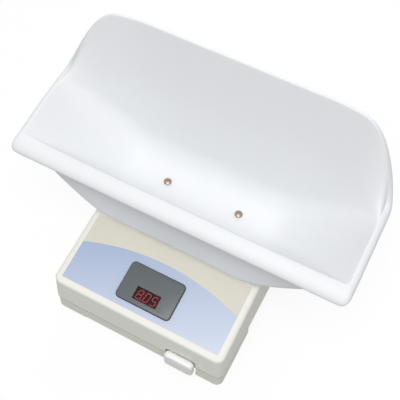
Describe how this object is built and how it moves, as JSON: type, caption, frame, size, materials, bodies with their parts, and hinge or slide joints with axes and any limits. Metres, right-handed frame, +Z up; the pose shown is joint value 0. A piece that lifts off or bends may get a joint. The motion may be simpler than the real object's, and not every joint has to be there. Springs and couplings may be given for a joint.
{
  "type": "digital baby weighing scale",
  "caption": "Tabletop baby scale: a wide moulded tray on a load cell, in a low two-part housing with a sloping display panel and a push button.",
  "frame": {"origin": "middle of the object's bounding box in plan, at the floor under its rubber feet", "axes": "+X to the right of someone reading the display, along the tray; +Y from the display panel to the tray's high back; +Z up"},
  "size_m": [0.5394, 0.332, 0.3586],
  "materials": {
    "upper_housing": "satin",
    "lower_housing": "satin",
    "panel_overlay": "satin",
    "blue_label": "satin",
    "display_frame": "satin",
    "display_plate": "satin",
    "window_lens": "clear dark red",
    "led_block": "satin",
    "led_digits": "lit",
    "display_board": "satin",
    "display_screws": "plain",
    "power_button": "satin",
    "button_spring": "plain",
    "power_switch": "satin",
    "switch_bracket": "plain",
    "main_board": "satin",
    "board_chips": "satin",
    "board_standoffs": "plain",
    "board_screws": "plain",
    "load_cell": "satin",
    "cell_foot_screws": "blackened",
    "cell_lift_block": "satin",
    "cell_lift_screws": "blackened",
    "platform_plate": "plain",
    "tray_posts": "satin",
    "post_seals": "matte",
    "post_pads": "matte",
    "tray": "satin",
    "tray_washers": "plain",
    "tray_screws": "plain",
    "overload_stops": "plain",
    "battery_door": "satin",
    "batteries": "satin",
    "contact_springs": "plain",
    "contact_plates": "plain",
    "power_inlet": "satin",
    "inlet_nut": "plain",
    "rubber_feet": "matte",
    "housing_screws": "plain",
    "cell_lead": "matte",
    "display_lead": "matte"
  },
  "bodies": {
    "base": {"upper_housing": "upper_housing", "lower_housing": "lower_housing", "panel_overlay": "panel_overlay", "blue_label": "blue_label", "display_frame": "display_frame", "display_plate": "display_plate", "window_lens": "window_lens", "led_block": "led_block", "led_digits": "led_digits", "display_board": "display_board", "display_screws": "display_screws", "button_spring": "button_spring", "power_switch": "power_switch", "switch_bracket": "switch_bracket", "main_board": "main_board", "board_chips": "board_chips", "board_standoffs": "board_standoffs", "board_screws": "board_screws", "load_cell": "load_cell", "cell_foot_screws": "cell_foot_screws", "post_seals": "post_seals", "overload_stops": "overload_stops", "batteries": "batteries", "contact_springs": "contact_springs", "contact_plates": "contact_plates", "power_inlet": "power_inlet", "inlet_nut": "inlet_nut", "rubber_feet": "rubber_feet", "housing_screws": "housing_screws", "cell_lead": "cell_lead", "display_lead": "display_lead"},
    "platform": {"cell_lift_block": "cell_lift_block", "cell_lift_screws": "cell_lift_screws", "platform_plate": "platform_plate", "tray_posts": "tray_posts", "post_pads": "post_pads", "tray": "tray", "tray_washers": "tray_washers", "tray_screws": "tray_screws"},
    "button": {"power_button": "power_button"},
    "door": {"battery_door": "battery_door"}
  },
  "joints": [
    {"name": "weigh_travel", "type": "slide", "parent": "base", "child": "platform", "axis": [0, 0, 1], "range_m": [-0.0006, 0], "stiffness_N_per_m": 163000, "deforming": ["load_cell"]},
    {"name": "button_press", "type": "slide", "parent": "base", "child": "button", "axis": [0, 1, 0], "range_m": [0, 0.0025], "stiffness_N_per_m": 800, "deforming": ["button_spring"]},
    {"name": "door_slide", "type": "slide", "parent": "base", "child": "door", "axis": [0, -1, 0], "range_m": [0, 0.01]}
  ]
}
